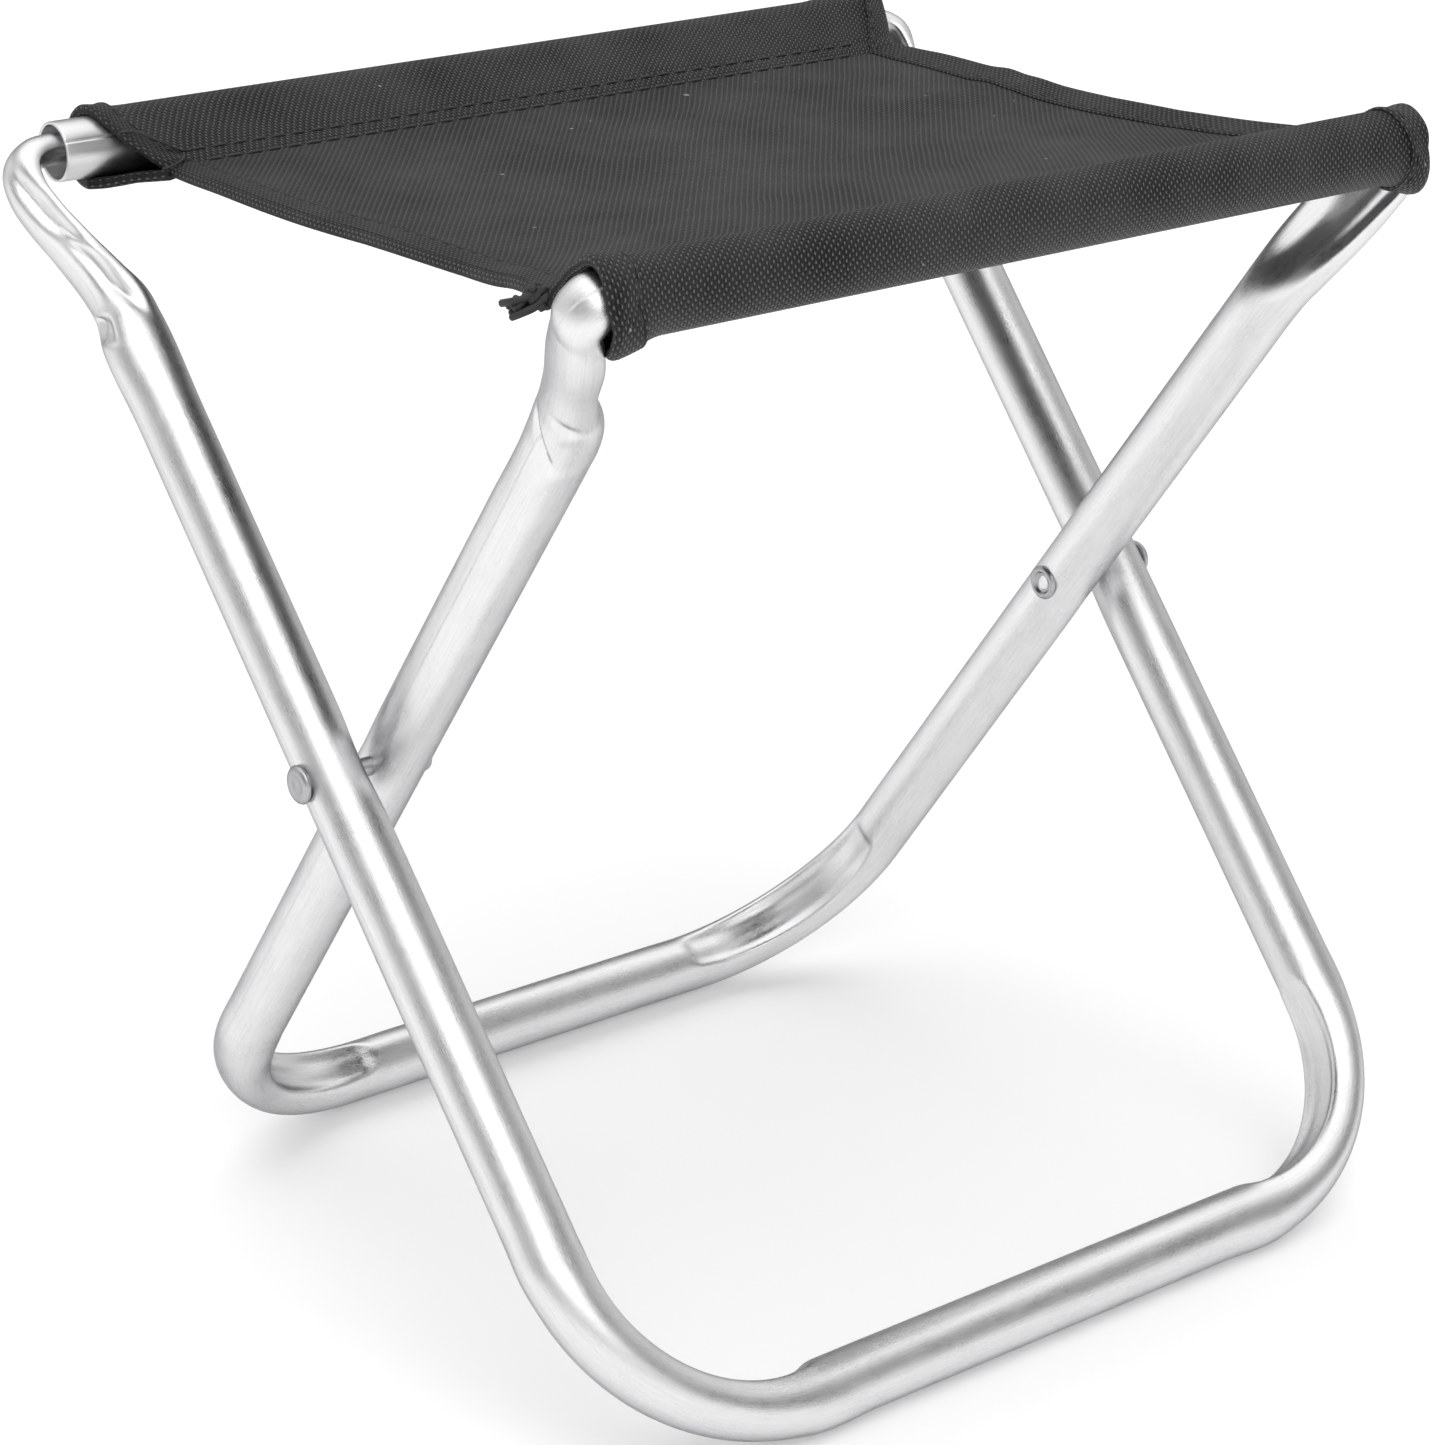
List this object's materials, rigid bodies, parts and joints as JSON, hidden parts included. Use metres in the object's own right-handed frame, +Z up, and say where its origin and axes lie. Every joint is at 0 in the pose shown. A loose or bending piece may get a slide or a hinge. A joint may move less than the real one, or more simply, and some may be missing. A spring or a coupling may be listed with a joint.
{
  "type": "folding camp stool",
  "caption": "Folding camp stool with two crossed bent-tube leg frames pivoting on rivets and a woven fabric sling seat sewn round the top rails.",
  "frame": {"origin": "centre of the bounding box at floor level, under the pivot line", "axes": "+X along the top rails to the right of someone facing the near rail, +Y from the near (inner) top rail to the far (outer) top rail, +Z up"},
  "size_m": [0.2806, 0.2362, 0.2795],
  "materials": {
    "legs": "bright drawn tube with lengthwise brushing",
    "rails": "bright thin-walled tube",
    "rivets": "bright, lightly marked",
    "fabric": "woven coated polyester, matt",
    "hems": "folded and sewn edge of the same cloth",
    "thread": "polyester sewing thread"
  },
  "bodies": {
    "outer_frame": {"outer_leg_frame": "legs", "outer_top_rail": "rails", "left_rivet": "rivets", "right_rivet": "rivets", "outer_sleeve": "fabric", "outer_sleeve_left_hem": "hems", "outer_sleeve_right_hem": "hems", "seat_panel": "fabric", "left_side_hem": "hems", "right_side_hem": "hems", "left_hem_thread": "thread", "right_hem_thread": "thread", "outer_seam_thread_1": "thread", "outer_seam_thread_2": "thread", "inner_seam_thread_1": "thread", "inner_seam_thread_2": "thread"},
    "inner_frame": {"inner_leg_frame": "legs", "inner_top_rail": "rails", "inner_sleeve": "fabric", "inner_sleeve_left_hem": "hems", "inner_sleeve_right_hem": "hems"}
  },
  "joints": [
    {"name": "fold", "type": "hinge", "parent": "outer_frame", "child": "inner_frame", "pos_m": [0, 0.00009, 0.13967], "axis": [-1, 0, 0], "range_deg": [0, 70], "deforming": ["seat_panel", "left_side_hem", "right_side_hem", "left_hem_thread", "right_hem_thread", "outer_seam_thread_1", "outer_seam_thread_2", "inner_seam_thread_1", "inner_seam_thread_2"]}
  ]
}
